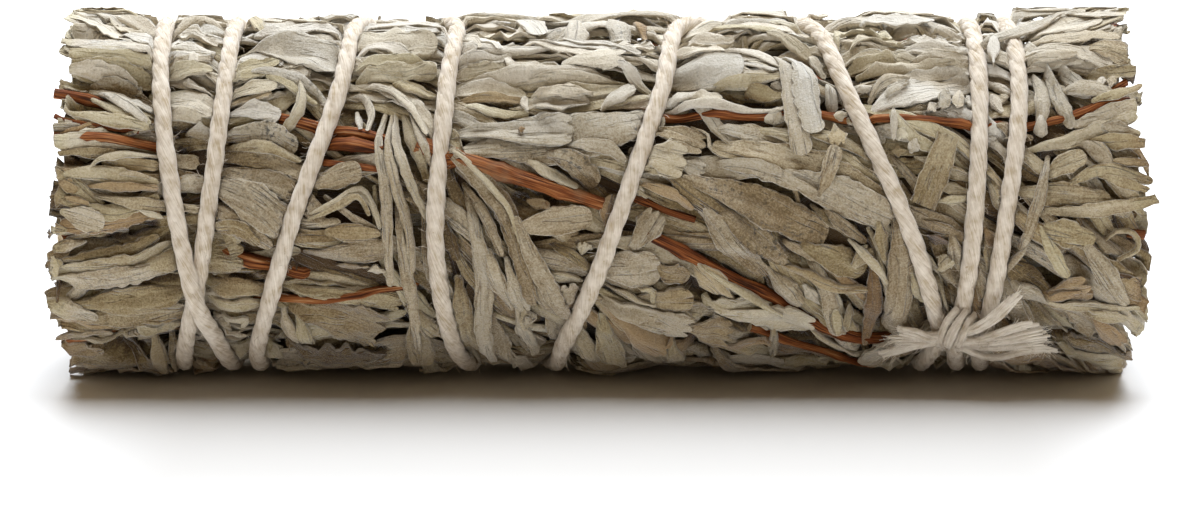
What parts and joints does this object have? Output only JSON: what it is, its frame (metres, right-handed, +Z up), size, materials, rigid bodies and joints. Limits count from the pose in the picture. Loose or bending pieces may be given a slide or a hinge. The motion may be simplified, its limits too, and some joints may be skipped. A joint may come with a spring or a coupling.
{
  "type": "smudge stick",
  "caption": "Bundle of dried blue sage sprigs cut to a common length, laid side by side and bound round with cotton string that is knotted near an end.",
  "frame": {"origin": "on the surface the stick lies on, under the middle of its length", "axes": "+X along the stick towards the end with the knot, +Y away from the side with the knot, +Z up"},
  "size_m": [0.1016, 0.0353, 0.0341],
  "materials": {
    "leaf": "dry felted grey-green leaf, matt",
    "stem": "thin reddish-brown bark",
    "string": "loosely twisted undyed cotton"
  },
  "bodies": {
    "root": {"sprig_stem_01": "stem", "sprig_stem_02": "stem", "sprig_stem_03": "stem", "sprig_stem_04": "stem", "sprig_stem_05": "stem", "sprig_stem_06": "stem", "sprig_stem_07": "stem", "sprig_stem_08": "stem", "sprig_stem_09": "stem", "sprig_stem_10": "stem", "sprig_stem_11": "stem", "sprig_stem_12": "stem", "sprig_stem_13": "stem", "sprig_stem_14": "stem", "sprig_stem_15": "stem", "sprig_stem_16": "stem", "sprig_stem_17": "stem", "sprig_stem_18": "stem", "sprig_stem_19": "stem", "sprig_leaves_01": "leaf", "sprig_leaves_02": "leaf", "sprig_leaves_03": "leaf", "sprig_leaves_04": "leaf", "sprig_leaves_05": "leaf", "sprig_leaves_06": "leaf", "sprig_leaves_07": "leaf", "sprig_leaves_08": "leaf", "sprig_leaves_09": "leaf", "sprig_leaves_10": "leaf", "sprig_leaves_11": "leaf", "sprig_leaves_12": "leaf", "sprig_leaves_13": "leaf", "sprig_leaves_14": "leaf", "sprig_leaves_15": "leaf", "sprig_leaves_16": "leaf", "sprig_leaves_17": "leaf", "sprig_leaves_18": "leaf", "sprig_leaves_19": "leaf", "outer_leaf_01": "leaf", "outer_leaf_02": "leaf", "outer_leaf_03": "leaf", "outer_leaf_04": "leaf", "outer_leaf_05": "leaf", "outer_leaf_06": "leaf", "outer_leaf_07": "leaf", "outer_leaf_08": "leaf", "outer_leaf_09": "leaf", "outer_leaf_10": "leaf", "outer_leaf_11": "leaf", "outer_leaf_12": "leaf", "outer_leaf_13": "leaf", "outer_leaf_14": "leaf", "outer_leaf_15": "leaf", "outer_leaf_16": "leaf", "outer_leaf_17": "leaf", "outer_leaf_18": "leaf", "under_leaf_01": "leaf", "under_leaf_02": "leaf", "under_leaf_03": "leaf", "binding_string": "string"}
  },
  "joints": []
}
